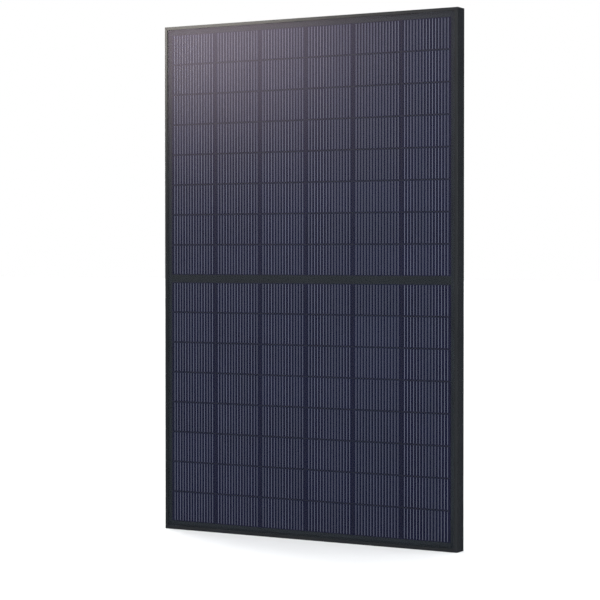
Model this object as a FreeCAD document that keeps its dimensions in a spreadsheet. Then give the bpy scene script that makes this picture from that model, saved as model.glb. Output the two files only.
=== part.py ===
"""Solar panel: an all-black framed module of 96 half-cut cells, standing upright.

X runs across the panel, Y from the glass (-Y) to the rear (+Y), and Z up. The origin is at the centre of the
frame's rear mounting face, so the panel fills Y from -depth to 0. Every body is drawn in its own frame and set
in place with its Placement.
"""

import FreeCAD, Part
import Sketcher
import math
import os
import re

# Driving dimensions in millimetres.
SIZES = {
    # outer size
    "width": 1134.0,
    "height": 1762.0,
    "depth": 50.0,
    # frame section
    "wall": 1.6,
    "lip": 11.0,
    "flange": 30.0,
    "glass_gap": 1.4,
    "sealant": 0.6,
    "sealant_setback": 0.4,
    "flange_bead": 3.2,
    "key_gap": 0.15,
    "key_leg": 52.0,
    "key_notch": 1.2,
    "key_notch_pitch": 8.0,
    # laminate, front to rear
    "glass": 3.2,
    "film": 0.45,
    "mask": 0.1,
    "ribbon": 0.25,
    "wafer": 0.16,
    "backsheet": 0.3,
    # cells
    "cell_width": 179.0,
    "cell_height": 103.0,
    "cell_gap": 1.6,
    "row_gap": 1.9,
    "middle_gap": 28.0,
    "field_edge": 2.0,
    # conductors
    "line_pitch": 11.2,
    "line_width": 1.2,
    "line_end": 2.2,
    "bus_width": 6.0,
    "bus_gap": 5.0,
    "lead_width": 6.0,
    "lead_height": 5.0,
    "lead_offset": 24.0,
    "window_width": 8.0,
    "window_height": 7.0,
    # holes in the rear flange
    "hole_line": 20.5,
    "slot_length": 14.0,
    "slot_width": 9.0,
    "inner_slots": 990.0,
    "outer_slots": 1400.0,
    "earth_holes": 800.0,
    "earth_radius": 2.1,
    "drain_length": 10.0,
    "drain_width": 4.0,
    "drain_inset": 90.0,
    # junction boxes
    "box_width": 100.0,
    "box_height": 60.0,
    "box_depth": 15.0,
    "box_wall": 2.0,
    "box_window": 6.0,
    "box_corner": 4.0,
    "box_glue": 1.0,
    "glue_inset": 2.5,
    "glue_width": 5.0,
    "lid": 2.5,
    "lid_skirt": 2.0,
    "lid_gap": 0.2,
    "clip_width": 22.0,
    "clip_height": 20.0,
    "clip": 1.0,
    "diode_width": 10.0,
    "diode_height": 14.0,
    "diode": 4.6,
    "diode_leg": 1.2,
    "potting_gap": 0.6,
    "gland_radius": 6.5,
    "gland_collar": 8.0,
    "gland_collar_length": 5.0,
    "gland_length": 20.0,
    "gland_spigot": 4.5,
    "gland_bore": 3.1,
    # blank rating label on the rear
    "label_width": 110.0,
    "label_height": 70.0,
    "label": 0.12,
    "label_up": 330.0,
}

COLUMNS = 6
ROWS = 8  # in each half of the panel
LINES = 15  # conductor lines across a cell
KEY_NOTCHES = 3  # along each leg of a corner key
BOXES = 3  # each one bridges two columns

# Levels: distances in front of the rear mounting face, as words of the sheet.
GLASS_FRONT = "(depth - wall - sealant)"
GLASS_REAR = f"({GLASS_FRONT} - glass)"
FILM_REAR = f"({GLASS_REAR} - film)"
RIBBON_FRONT = f"({FILM_REAR} - mask)"
WAFER_FRONT = f"({RIBBON_FRONT} - ribbon)"
WAFER_REAR = f"({WAFER_FRONT} - wafer)"
RIBBON_REAR = f"({WAFER_REAR} - ribbon)"
BACKSHEET_FRONT = f"({RIBBON_REAR} - film)"
BACKSHEET_REAR = f"({BACKSHEET_FRONT} - backsheet)"
SHELF_FRONT = f"({BACKSHEET_REAR} - sealant)"
SHELF_REAR = f"({SHELF_FRONT} - wall)"
BOX_FLOOR = f"({BACKSHEET_REAR} - box_glue)"
BOX_INSIDE = f"({BOX_FLOOR} - box_wall)"
BOX_RIM = f"({BOX_FLOOR} - box_depth)"
LEAD_TOP = f"({BOX_INSIDE} - clip - ribbon)"
BOX_MIDDLE = f"({BOX_INSIDE} / 2 + {BOX_RIM} / 2)"
POTTING_TOP = f"({BOX_RIM} + lid_skirt + potting_gap)"

# Places across and up the panel.
LAMINATE_X = "(width / 2 - wall - glass_gap)"
LAMINATE_Z = "(height / 2 - wall - glass_gap)"
COLUMN_PITCH = "(cell_width + cell_gap)"
ROW_PITCH = "(cell_height + row_gap)"
FIELD_X = f"({COLUMNS} / 2 * {COLUMN_PITCH} - cell_gap / 2)"
FIELD_BOTTOM = "(middle_gap / 2)"
FIELD_TOP = f"({FIELD_BOTTOM} + {ROWS} * {ROW_PITCH} - row_gap)"
END_BUS = f"({FIELD_TOP} + bus_gap)"

# Where a ribbon's bend starts and ends across the gap between two cells.
BEND_START = "0.25 * row_gap"
BEND_END = "0.75 * row_gap"

doc = FreeCAD.newDocument("solar_panel")
sheet = doc.addObject("Spreadsheet::Sheet", "Sizes")
nodes = []


def fill_sheet():
    """One row for each driving dimension: its name, its number and the alias that other objects read."""
    for row, (word, number) in enumerate(SIZES.items(), start=1):
        sheet.set(f"A{row}", word)
        sheet.set(f"B{row}", str(number))
        sheet.setAlias(f"B{row}", word)
    doc.recompute()


def bound(words):
    """The document's expression for sheet words, such as "depth - wall"."""
    return re.sub(r"[a-z][a-z_]+", r"Sizes.\g<0>", words)


def number(words):
    """What sheet words come to now."""
    return float(sheet.evalExpression(bound(words)))


def place(item, across="0", back="0", up="0", turn=0):
    """Sets an object in the panel. Turn is in degrees about the panel's Y axis."""
    item.Placement = FreeCAD.Placement(FreeCAD.Vector(), FreeCAD.Rotation(FreeCAD.Vector(0, 1, 0), turn))
    item.setExpression("Placement.Base.x", bound(across))
    item.setExpression("Placement.Base.y", bound(back))
    item.setExpression("Placement.Base.z", bound(up))


def new_body(label, is_node=True):
    """An empty body, which may hold several solids. A node is written out under its label."""
    body = doc.addObject("PartDesign::Body", label)
    body.Label = label
    body.AllowCompound = True
    if is_node:
        nodes.append(body)
    return body


def origin_part(body, role):
    """The body's own origin plane or axis with this role."""
    return next(part for part in body.Origin.OriginFeatures if part.Role == role)


def new_sketch(body, name, role, level="0"):
    """A sketch on one of the body's own origin planes, moved by level along the sketch's normal."""
    sketch = body.newObject("Sketcher::SketchObject", name)
    sketch.AttachmentSupport = [(origin_part(body, role), "")]
    sketch.MapMode = "FlatFace"
    sketch.setExpression("AttachmentOffset.Base.z", bound(level))
    return sketch


def pin_point(sketch, line, end, across, up):
    """Holds the end of a line at a place given in sheet words."""
    for kind, words in (("DistanceX", across), ("DistanceY", up)):
        index = sketch.addConstraint(Sketcher.Constraint(kind, -1, 1, line, end, number(words)))
        sketch.setExpression(f"Constraints[{index}]", bound(words))


def add_outline(sketch, corners):
    """A closed outline of straight lines through corners given in sheet words."""
    first = sketch.GeometryCount
    points = [FreeCAD.Vector(number(across), number(up), 0) for across, up in corners]
    count = len(points)
    for index, point in enumerate(points):
        sketch.addGeometry(Part.LineSegment(point, points[(index + 1) % count]), False)
    for index, (across, up) in enumerate(corners):
        following = first + (index + 1) % count
        sketch.addConstraint(Sketcher.Constraint("Coincident", first + index, 2, following, 1))
        pin_point(sketch, first + index, 1, across, up)


def add_box(sketch, left, right, low, high):
    """A closed rectangle between four places in sheet words."""
    add_outline(sketch, [(left, low), (right, low), (right, high), (left, high)])


def add_centred_box(sketch, across, up, wide, tall):
    """A closed rectangle about a centre, all in sheet words."""
    add_box(sketch, f"{across} - {wide} / 2", f"{across} + {wide} / 2", f"{up} - {tall} / 2", f"{up} + {tall} / 2")


def add_circle(sketch, across, up, radius):
    """A closed circle about a centre, all in sheet words."""
    centre = FreeCAD.Vector(number(across), number(up), 0)
    circle = sketch.addGeometry(Part.Circle(centre, FreeCAD.Vector(0, 0, 1), number(radius)), False)
    pin_point(sketch, circle, 3, across, up)
    index = sketch.addConstraint(Sketcher.Constraint("Radius", circle, number(radius)))
    sketch.setExpression(f"Constraints[{index}]", bound(radius))


def add_slot(sketch, across, up, length, width):
    """A round-ended slot that runs up the sketch, about a centre, all in sheet words."""
    left = f"{across} - {width} / 2"
    right = f"{across} + {width} / 2"
    high = f"{up} + {length} / 2 - {width} / 2"
    low = f"{up} - {length} / 2 + {width} / 2"
    radius = number(f"{width} / 2")
    normal = FreeCAD.Vector(0, 0, 1)
    top = Part.Circle(FreeCAD.Vector(number(across), number(high), 0), normal, radius)
    bottom = Part.Circle(FreeCAD.Vector(number(across), number(low), 0), normal, radius)
    upper = sketch.addGeometry(Part.ArcOfCircle(top, 0, math.pi), False)
    lower = sketch.addGeometry(Part.ArcOfCircle(bottom, math.pi, 2 * math.pi), False)
    sides = []
    for side in (left, right):
        ends = [FreeCAD.Vector(number(side), number(height), 0) for height in (low, high)]
        line = sketch.addGeometry(Part.LineSegment(*ends), False)
        pin_point(sketch, line, 1, side, low)
        pin_point(sketch, line, 2, side, high)
        sides.append(line)
    left_line, right_line = sides
    sketch.addConstraint(Sketcher.Constraint("Coincident", upper, 1, right_line, 2))
    sketch.addConstraint(Sketcher.Constraint("Coincident", upper, 2, left_line, 2))
    sketch.addConstraint(Sketcher.Constraint("Coincident", lower, 1, left_line, 1))
    sketch.addConstraint(Sketcher.Constraint("Coincident", lower, 2, right_line, 1))
    for arc, middle in ((upper, high), (lower, low)):
        index = sketch.addConstraint(Sketcher.Constraint("DistanceY", -1, 1, arc, 3, number(middle)))
        sketch.setExpression(f"Constraints[{index}]", bound(middle))


def pad(body, sketch, length, both_ways=False):
    """Pads a sketch along its normal, or half each way."""
    feature = body.newObject("PartDesign::Pad", sketch.Name + "_pad")
    feature.Profile = sketch
    feature.setExpression("Length", bound(length))
    if both_ways:
        feature.SideType = "Symmetric"
    return feature


def pocket(body, sketch, length=None, along_normal=True):
    """Cuts a sketch into the body, by a length or right through both ways, and stops if nothing is cut."""
    doc.recompute()
    before = body.Shape.Volume
    feature = body.newObject("PartDesign::Pocket", sketch.Name + "_pocket")
    feature.Profile = sketch
    if length is None:
        feature.Type = "ThroughAll"
        feature.SideType = "Symmetric"
    else:
        feature.setExpression("Length", bound(length))
        feature.Reversed = along_normal
    doc.recompute()
    if feature.Shape.Volume >= before:
        raise RuntimeError(f"{sketch.Name} cuts nothing from {body.Label}")


def repeat(body, feature, axis, pitch, count, name):
    """Repeats a feature along one of the body's own axes."""
    pattern = body.newObject("PartDesign::LinearPattern", name)
    pattern.Originals = [feature]
    pattern.Direction = (origin_part(body, axis), [""])
    pattern.setExpression("Length", bound(f"{pitch} * {count - 1}"))
    pattern.Occurrences = count
    body.Tip = pattern


# Frame


def frame_bar(body, section, length, across, up, turn):
    """Pads a frame section along the bar and mitres both ends. The bar's outer edge is at its own X = 0."""
    pad(body, section, length, both_ways=True)
    mitres = new_sketch(body, body.Label + "_mitres", "XZ_Plane")
    for side in ("", "-"):
        beyond = f"{side}({length} / 2 + flange)"
        inside = f"{side}({length} / 2 - 2 * flange)"
        add_outline(mitres, [("-flange", beyond), ("2 * flange", beyond), ("2 * flange", inside)])
    pocket(body, mitres)
    place(body, across=across, up=up, turn=turn)


def rail(label, length, across="0", up="0", turn=0):
    """One hollow extruded rail: front lip, slot for the laminate, chamber for the corner keys and rear flange."""
    body = new_body(label)
    section = new_sketch(body, label + "_section", "XY_Plane")
    add_outline(
        section,
        [
            ("0", "-depth"),
            ("lip", "-depth"),
            ("lip", "wall - depth"),
            ("wall", "wall - depth"),
            ("wall", f"-{SHELF_FRONT}"),
            ("lip", f"-{SHELF_FRONT}"),
            ("lip", "-wall"),
            ("flange - wall", "-wall"),
            ("flange - wall", "-flange_bead"),
            ("flange", "-flange_bead"),
            ("flange", "0"),
            ("0", "0"),
        ],
    )
    add_box(section, "wall", "lip - wall", f"-{SHELF_REAR}", "-wall")
    frame_bar(body, section, length, across, up, turn)
    drains = new_sketch(body, label + "_drains", "XZ_Plane")
    for side in ("-", ""):
        add_slot(drains, "lip / 2", f"{side}({length} / 2 - drain_inset)", "drain_length", "drain_width")
    pocket(body, drains, "wall")
    return body


def drill_long_rail(body):
    """Mounting slots and earthing holes in a long rail's rear flange."""
    holes = new_sketch(body, body.Label + "_holes", "XZ_Plane")
    for side in ("-", ""):
        add_slot(holes, "hole_line", f"{side}inner_slots / 2", "slot_length", "slot_width")
        add_slot(holes, "hole_line", f"{side}outer_slots / 2", "slot_length", "slot_width")
        add_circle(holes, "hole_line", f"{side}earth_holes / 2", "earth_radius")
    pocket(body, holes, "flange_bead")


def sealant(label, length, across="0", up="0", turn=0):
    """Silicone that fills a rail's slot around the laminate's edge."""
    body = new_body(label)
    section = new_sketch(body, label + "_section", "XY_Plane")
    add_outline(
        section,
        [
            ("wall", "wall - depth"),
            ("lip - sealant_setback", "wall - depth"),
            ("lip - sealant_setback", f"-{GLASS_FRONT}"),
            ("wall + glass_gap", f"-{GLASS_FRONT}"),
            ("wall + glass_gap", f"-{BACKSHEET_REAR}"),
            ("lip - sealant_setback", f"-{BACKSHEET_REAR}"),
            ("lip - sealant_setback", f"-{SHELF_FRONT}"),
            ("wall", f"-{SHELF_FRONT}"),
        ],
    )
    frame_bar(body, section, length, across, up, turn)


def corner_key(label, across, up, turn):
    """Aluminium angle that is crimped inside the chambers of two rails at their mitre."""
    body = new_body(label)
    near = "(wall + key_gap)"
    far = "(lip - wall - key_gap)"
    angle = new_sketch(body, label + "_angle", "XZ_Plane", level="wall + key_gap")
    add_outline(
        angle,
        [
            (near, f"-{near}"),
            ("key_leg", f"-{near}"),
            ("key_leg", f"-{far}"),
            (far, f"-{far}"),
            (far, "-key_leg"),
            (near, "-key_leg"),
        ],
    )
    pad(body, angle, f"{SHELF_REAR} - wall - 2 * key_gap")
    notches = new_sketch(body, label + "_notches", "XZ_Plane")
    for step in range(1, KEY_NOTCHES + 1):
        start = f"key_leg - {step} * key_notch_pitch"
        add_box(notches, start, f"{start} + key_notch", f"-{near} - key_notch", f"-{near} + key_notch")
        add_box(notches, f"{near} - key_notch", f"{near} + key_notch", f"-({start} + key_notch)", f"-({start})")
    pocket(body, notches)
    place(body, across=across, up=up, turn=turn)


def build_frame():
    for label, across, turn in (("rail_left", "-width / 2", 0), ("rail_right", "width / 2", 180)):
        drill_long_rail(rail(label, "height", across=across, turn=turn))
    for label, up, turn in (("rail_top", "height / 2", 90), ("rail_bottom", "-height / 2", 270)):
        rail(label, "width", up=up, turn=turn)
    for label, across, turn in (("sealant_left", "-width / 2", 0), ("sealant_right", "width / 2", 180)):
        sealant(label, "height", across=across, turn=turn)
    for label, up, turn in (("sealant_top", "height / 2", 90), ("sealant_bottom", "-height / 2", 270)):
        sealant(label, "width", up=up, turn=turn)
    corner_key("corner_key_top_left", "-width / 2", "height / 2", 0)
    corner_key("corner_key_top_right", "width / 2", "height / 2", 90)
    corner_key("corner_key_bottom_right", "width / 2", "-height / 2", 180)
    corner_key("corner_key_bottom_left", "-width / 2", "-height / 2", 270)


# Laminate


def laminate_sheet(label, rear, thickness):
    """One full-size sheet of the laminate, padded forward from its rear face."""
    body = new_body(label)
    sketch = new_sketch(body, label + "_outline", "XZ_Plane", level=rear)
    add_box(sketch, f"-{LAMINATE_X}", LAMINATE_X, f"-{LAMINATE_Z}", LAMINATE_Z)
    pad(body, sketch, thickness)
    return body


def box_place(index):
    """How far across the panel junction box 0, 1 or 2 sits: on the joint between the two columns it bridges."""
    return f"({index - 1} * 2 * {COLUMN_PITCH})"


def cut_windows(body, rear, thickness):
    """Openings for the lead-outs through a sheet behind the cells."""
    windows = new_sketch(body, body.Label + "_windows", "XZ_Plane", level=rear)
    for box in range(BOXES):
        for side in ("-", "+"):
            across = f"{box_place(box)} {side} lead_offset"
            add_centred_box(windows, across, "0", "window_width", "window_height")
    pocket(body, windows, thickness)


def build_sheets():
    laminate_sheet("front_glass", GLASS_REAR, "glass")
    cavity = "mask + ribbon + wafer + ribbon"
    front_film = laminate_sheet("encapsulant_front", RIBBON_REAR, f"film + {cavity}")
    room = new_sketch(front_film, "cell_room", "XZ_Plane", level=RIBBON_REAR)
    side = f"({FIELD_X} + field_edge)"
    end = f"({END_BUS} + bus_width + field_edge)"
    add_box(room, f"-{side}", side, f"-{end}", end)
    pocket(front_film, room, cavity)
    rear_film = laminate_sheet("encapsulant_rear", BACKSHEET_FRONT, "film")
    cut_windows(rear_film, BACKSHEET_FRONT, "film")
    backsheet = laminate_sheet("backsheet", BACKSHEET_REAR, "backsheet")
    cut_windows(backsheet, BACKSHEET_REAR, "backsheet")


# Cells and conductors


def column_place(column):
    """How far across the panel the centre of a column sits, counted from 1 at the left."""
    return f"({column - (COLUMNS + 1) / 2} * {COLUMN_PITCH})"


def cell_string(label, across, turn):
    """The half cells of one column in one half of the panel, drawn upwards from the middle line."""
    body = new_body(label)
    sketch = new_sketch(body, label + "_outlines", "XZ_Plane", level=WAFER_REAR)
    for row in range(ROWS):
        low = f"({FIELD_BOTTOM} + {row} * {ROW_PITCH})"
        add_box(sketch, "-cell_width / 2", "cell_width / 2", low, f"{low} + cell_height")
    pad(body, sketch, "wafer")
    place(body, across=across, turn=turn)


def add_ribbon(sketch, lower_faces, upper_faces, low, bend_low, bend_high, high):
    """A ribbon's side outline: a lower strip, a bend through the gap between two cells, and an upper strip.

    Each pair of faces gives how far forward the strip's front and rear faces are.
    """
    lower_front, lower_rear = (f"-{face}" for face in lower_faces)
    upper_front, upper_rear = (f"-{face}" for face in upper_faces)
    add_outline(
        sketch,
        [
            (lower_front, low),
            (lower_front, bend_low),
            (upper_front, bend_high),
            (upper_front, high),
            (upper_rear, high),
            (upper_rear, bend_high),
            (lower_rear, bend_low),
            (lower_rear, low),
        ],
    )


def ribbon_pattern(name, rises):
    """The ribbons of one cell string, drawn upwards from the middle line.

    Each ribbon runs from the front of one cell to the rear of the next: the next cell up if rises, or the next
    cell down. The strips at both ends of the string run out to the bus ribbons.
    """
    body = new_body(name, is_node=False)
    front_faces = (RIBBON_FRONT, WAFER_FRONT)
    rear_faces = (WAFER_REAR, RIBBON_REAR)
    lower_faces, upper_faces = (front_faces, rear_faces) if rises else (rear_faces, front_faces)
    first_line = f"-{(LINES - 1) / 2} * line_pitch"
    first_top = f"{FIELD_BOTTOM} + cell_height"
    last_bottom = f"({FIELD_TOP} - cell_height)"
    ends = new_sketch(body, name + "_ends", "YZ_Plane", level=first_line)
    add_ribbon(
        ends,
        front_faces,
        upper_faces,
        "ribbon",
        f"{FIELD_BOTTOM} - {BEND_END}",
        f"{FIELD_BOTTOM} - {BEND_START}",
        f"{first_top} - line_end",
    )
    add_ribbon(
        ends,
        lower_faces,
        front_faces,
        f"{last_bottom} + line_end",
        f"{FIELD_TOP} + {BEND_START}",
        f"{FIELD_TOP} + {BEND_END}",
        f"{END_BUS} + bus_width - ribbon",
    )
    end_pad = pad(body, ends, "line_width", both_ways=True)
    repeat(body, end_pad, "X_Axis", "line_pitch", LINES, name + "_end_lines")
    links = new_sketch(body, name + "_links", "YZ_Plane", level=first_line)
    for row in range(ROWS - 1):
        climb = f"{row} * {ROW_PITCH}"
        add_ribbon(
            links,
            lower_faces,
            upper_faces,
            f"{FIELD_BOTTOM} + line_end + {climb}",
            f"{first_top} + {BEND_START} + {climb}",
            f"{first_top} + {BEND_END} + {climb}",
            f"{first_top} + {ROW_PITCH} - line_end + {climb}",
        )
    link_pad = pad(body, links, "line_width", both_ways=True)
    repeat(body, link_pad, "X_Axis", "line_pitch", LINES, name + "_link_lines")
    return body


def ribbon_group(label, pattern, across, turn):
    """All the ribbons of one cell string, set in their column."""
    group = doc.addObject("Part::Compound", label)
    group.Label = label
    group.Links = [pattern]
    place(group, across=across, turn=turn)
    nodes.append(group)


def build_strings():
    """Columns run up and down in turn, and the lower half of the panel is the upper half turned over."""
    rising = ribbon_pattern("rising_ribbons", rises=True)
    falling = ribbon_pattern("falling_ribbons", rises=False)
    for half, turn in (("upper", 0), ("lower", 180)):
        for column in range(1, COLUMNS + 1):
            across = column_place(column)
            cell_string(f"cells_{half}_{column}", across, turn)
            pattern = rising if column % 2 else falling
            ribbon_group(f"ribbons_{half}_{column}", pattern, across, turn)


def bus_piece(sketch, first, last, low, high):
    """A bus ribbon across columns first to last."""
    add_box(
        sketch,
        f"{column_place(first)} - cell_width / 2 + bus_gap",
        f"{column_place(last)} + cell_width / 2 - bus_gap",
        low,
        high,
    )


def build_buses():
    """Bus ribbons behind the ends of the cell ribbons, and the black strips in front of them."""
    groups = {
        "bus_ribbons_top": (END_BUS, f"{END_BUS} + bus_width", ((1, 2), (3, 4), (5, 6))),
        "bus_ribbons_middle": ("-bus_width / 2", "bus_width / 2", ((1, 1), (2, 3), (4, 5), (6, 6))),
        "bus_ribbons_bottom": (f"-{END_BUS} - bus_width", f"-{END_BUS}", ((1, 2), (3, 4), (5, 6))),
    }
    for label, (low, high, spans) in groups.items():
        body = new_body(label)
        sketch = new_sketch(body, label + "_outlines", "XZ_Plane", level=RIBBON_REAR)
        for first, last in spans:
            bus_piece(sketch, first, last, low, high)
        pad(body, sketch, "wafer + ribbon")
    far = f"{END_BUS} + bus_width + field_edge / 2"
    near = f"{FIELD_TOP} + field_edge / 2"
    middle = f"{FIELD_BOTTOM} - field_edge / 2"
    strips = {
        "mask_strip_top": (near, far),
        "mask_strip_middle": (f"-({middle})", middle),
        "mask_strip_bottom": (f"-({far})", f"-({near})"),
    }
    for label, (low, high) in strips.items():
        body = new_body(label)
        sketch = new_sketch(body, label + "_outline", "XZ_Plane", level=RIBBON_FRONT)
        add_box(sketch, f"-{FIELD_X}", FIELD_X, low, high)
        pad(body, sketch, "mask")


def build_lead_outs():
    """Flat leads from the middle bus through the backsheet, each folded over a terminal clip."""
    body = new_body("lead_outs")
    riser = "lead_height / 2"
    for box in range(BOXES):
        for side in ("-", "+"):
            across = f"{box_place(box)} {side} lead_offset"
            name = f"lead_{box}_{'left' if side == '-' else 'right'}"
            sketch = new_sketch(body, name, "YZ_Plane", level=across)
            add_outline(
                sketch,
                [
                    (f"-{RIBBON_REAR}", f"-{riser}"),
                    (f"ribbon - {RIBBON_REAR}", f"-{riser}"),
                    (f"ribbon - {RIBBON_REAR}", f"{riser} - ribbon"),
                    (f"-{LEAD_TOP}", f"{riser} - ribbon"),
                    (f"-{LEAD_TOP}", f"{riser} + clip_height / 2"),
                    (f"-{LEAD_TOP} - ribbon", f"{riser} + clip_height / 2"),
                    (f"-{LEAD_TOP} - ribbon", riser),
                    (f"-{RIBBON_REAR}", riser),
                ],
            )
            pad(body, sketch, "lead_width", both_ways=True)
    return body


# Junction boxes


def round_box_corners(body, block):
    """Rounds the four edges of a block that run from front to rear."""
    doc.recompute()
    edges = []
    for index, edge in enumerate(block.Shape.Edges, start=1):
        start, end = (vertex.Point for vertex in edge.Vertexes)
        if abs(end.y - start.y) > abs(end.x - start.x) + abs(end.z - start.z):
            edges.append(f"Edge{index}")
    fillet = body.newObject("PartDesign::Fillet", body.Label + "_corners")
    fillet.Base = (block, edges)
    fillet.setExpression("Radius", bound("box_corner"))


def junction_box(label, across, turn=0, has_cable=True):
    """An open tray glued to the backsheet, with a floor window for the leads. A cable enters on its own +X side."""
    body = new_body(label)
    outer = new_sketch(body, label + "_outer", "XZ_Plane", level=BOX_RIM)
    add_centred_box(outer, "0", "0", "box_width", "box_height")
    round_box_corners(body, pad(body, outer, "box_depth"))
    inner = new_sketch(body, label + "_inner", "XZ_Plane", level=BOX_RIM)
    add_centred_box(inner, "0", "0", "(box_width - 2 * box_wall)", "(box_height - 2 * box_wall)")
    pocket(body, inner, "box_depth - box_wall")
    window = new_sketch(body, label + "_window", "XZ_Plane", level=BOX_RIM)
    add_centred_box(window, "0", "0", "(2 * lead_offset + 2 * lead_width)", "box_window")
    pocket(body, window, "box_depth")
    if has_cable:
        entry = new_sketch(body, label + "_entry", "YZ_Plane", level="box_width / 2")
        add_circle(entry, f"-{BOX_MIDDLE}", "0", "gland_spigot")
        pocket(body, entry, "box_wall", along_normal=False)
    place(body, across=across, turn=turn)


def junction_box_lid(label, across):
    """A snap-on lid: a plate with a skirt that plugs into the tray's rim."""
    body = new_body(label)
    plate = new_sketch(body, label + "_plate", "XZ_Plane", level=f"{BOX_RIM} - lid")
    add_centred_box(plate, "0", "0", "box_width", "box_height")
    round_box_corners(body, pad(body, plate, "lid"))
    skirt = new_sketch(body, label + "_skirt", "XZ_Plane", level=BOX_RIM)
    outside = "2 * box_wall + 2 * lid_gap"
    inside = "4 * box_wall + 2 * lid_gap"
    add_centred_box(skirt, "0", "0", f"(box_width - ({outside}))", f"(box_height - ({outside}))")
    add_centred_box(skirt, "0", "0", f"(box_width - ({inside}))", f"(box_height - ({inside}))")
    pad(body, skirt, "lid_skirt")
    place(body, across=across)


def build_glue():
    """A ring of silicone between each junction box and the backsheet."""
    body = new_body("box_adhesive")
    sketch = new_sketch(body, "glue_rings", "XZ_Plane", level=BOX_FLOOR)
    for box in range(BOXES):
        for inset in ("2 * glue_inset", "(2 * glue_inset + 2 * glue_width)"):
            add_centred_box(sketch, box_place(box), "0", f"(box_width - {inset})", f"(box_height - {inset})")
    pad(body, sketch, "box_glue")


def build_electrics(leads):
    """Terminal clips, bypass diodes and the potting that fills each box around them."""
    clip_up = "(lead_height / 2 + clip + clip_height / 2)"
    clips = new_body("terminal_clips")
    plates = new_sketch(clips, "clip_plates", "XZ_Plane", level=f"{BOX_INSIDE} - clip")
    diodes = new_body("bypass_diodes")
    cases = new_sketch(diodes, "diode_cases", "XZ_Plane", level=f"{BOX_INSIDE} - clip - diode")
    legs = new_sketch(diodes, "diode_legs", "XZ_Plane", level=f"{BOX_INSIDE} - clip - diode_leg")
    for box in range(BOXES):
        middle = box_place(box)
        for side in ("-", "+"):
            add_centred_box(plates, f"{middle} {side} lead_offset", clip_up, "clip_width", "clip_height")
        add_centred_box(cases, middle, clip_up, "diode_width", "diode_height")
        add_centred_box(legs, middle, clip_up, "(2 * lead_offset - clip_width / 2)", "diode_leg")
    pad(clips, plates, "clip")
    pad(diodes, cases, "diode")
    pad(diodes, legs, "diode_leg")
    filling = new_body("potting_fill", is_node=False)
    fill = new_sketch(filling, "potting_blocks", "XZ_Plane", level=POTTING_TOP)
    for box in range(BOXES):
        add_centred_box(fill, box_place(box), "0", "(box_width - 2 * box_wall)", "(box_height - 2 * box_wall)")
    pad(filling, fill, f"{BOX_INSIDE} - {POTTING_TOP}")
    buried = doc.addObject("Part::Compound", "buried_parts")
    buried.Links = [clips, diodes, leads]
    potting = doc.addObject("Part::Cut", "potting")
    potting.Label = "potting"
    potting.Base = filling
    potting.Tool = buried
    nodes.append(potting)


def build_glands():
    """Cable entries on the outer sides of the two outer boxes: a spigot, a collar and a tapered nose."""
    body = new_body("cable_glands")
    rings = new_sketch(body, "gland_rings", "XY_Plane")
    face = f"({box_place(BOXES - 1)} + box_width / 2)"
    outline = [
        (f"{face} - box_wall", "gland_bore"),
        (f"{face} - box_wall", "gland_spigot"),
        (face, "gland_spigot"),
        (face, "gland_collar"),
        (f"{face} + gland_collar_length", "gland_collar"),
        (f"{face} + gland_collar_length", "gland_radius"),
        (f"{face} + gland_length", "gland_spigot"),
        (f"{face} + gland_length", "gland_bore"),
    ]
    for side in ("-", ""):
        add_outline(rings, [(f"{side}({across})", radius) for across, radius in outline])
    turned = body.newObject("PartDesign::Revolution", "gland_revolution")
    turned.Profile = rings
    turned.ReferenceAxis = (origin_part(body, "X_Axis"), [""])
    turned.Angle = 360
    place(body, back=f"-{BOX_MIDDLE}")


def build_label():
    """A blank rating label on the backsheet."""
    body = new_body("rating_label")
    sketch = new_sketch(body, "label_outline", "XZ_Plane", level=f"{BACKSHEET_REAR} - label")
    add_centred_box(sketch, "0", "label_up", "label_width", "label_height")
    pad(body, sketch, "label")


def build_boxes():
    leads = build_lead_outs()
    junction_box("junction_box_left", box_place(0), turn=180)
    junction_box("junction_box_middle", box_place(1), has_cable=False)
    junction_box("junction_box_right", box_place(2))
    for box, side in enumerate(("left", "middle", "right")):
        junction_box_lid(f"junction_box_lid_{side}", box_place(box))
    build_glue()
    build_electrics(leads)
    build_glands()


# Checks and export


def check_document():
    """Stops if any object failed, or any node's shape is missing or not valid."""
    doc.recompute()
    failed = [item.Name for item in doc.Objects if {"Invalid", "Error"} & set(item.State)]
    if failed:
        raise RuntimeError("these objects failed: " + ", ".join(failed))
    for node in nodes:
        if node.Shape.isNull() or not node.Shape.isValid():
            raise RuntimeError(node.Label + " has no valid shape")


def export_nodes():
    """Writes each node's shape to a file named after its label."""
    os.makedirs("parts", exist_ok=True)
    for node in nodes:
        node.Shape.exportStep(f"parts/{node.Label}.step")
        print(node.Label, len(node.Shape.Solids), "solids", round(node.Shape.Volume, 1), "mm3")
    print(len(nodes), "nodes")


fill_sheet()
build_frame()
build_sheets()
build_strings()
build_buses()
build_boxes()
build_label()
check_document()
export_nodes()
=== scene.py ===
"""Visual model of the solar panel and its studio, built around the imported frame. All sizes are in metres."""

import math

import bmesh
import bpy
from mathutils import Matrix, Vector


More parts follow.
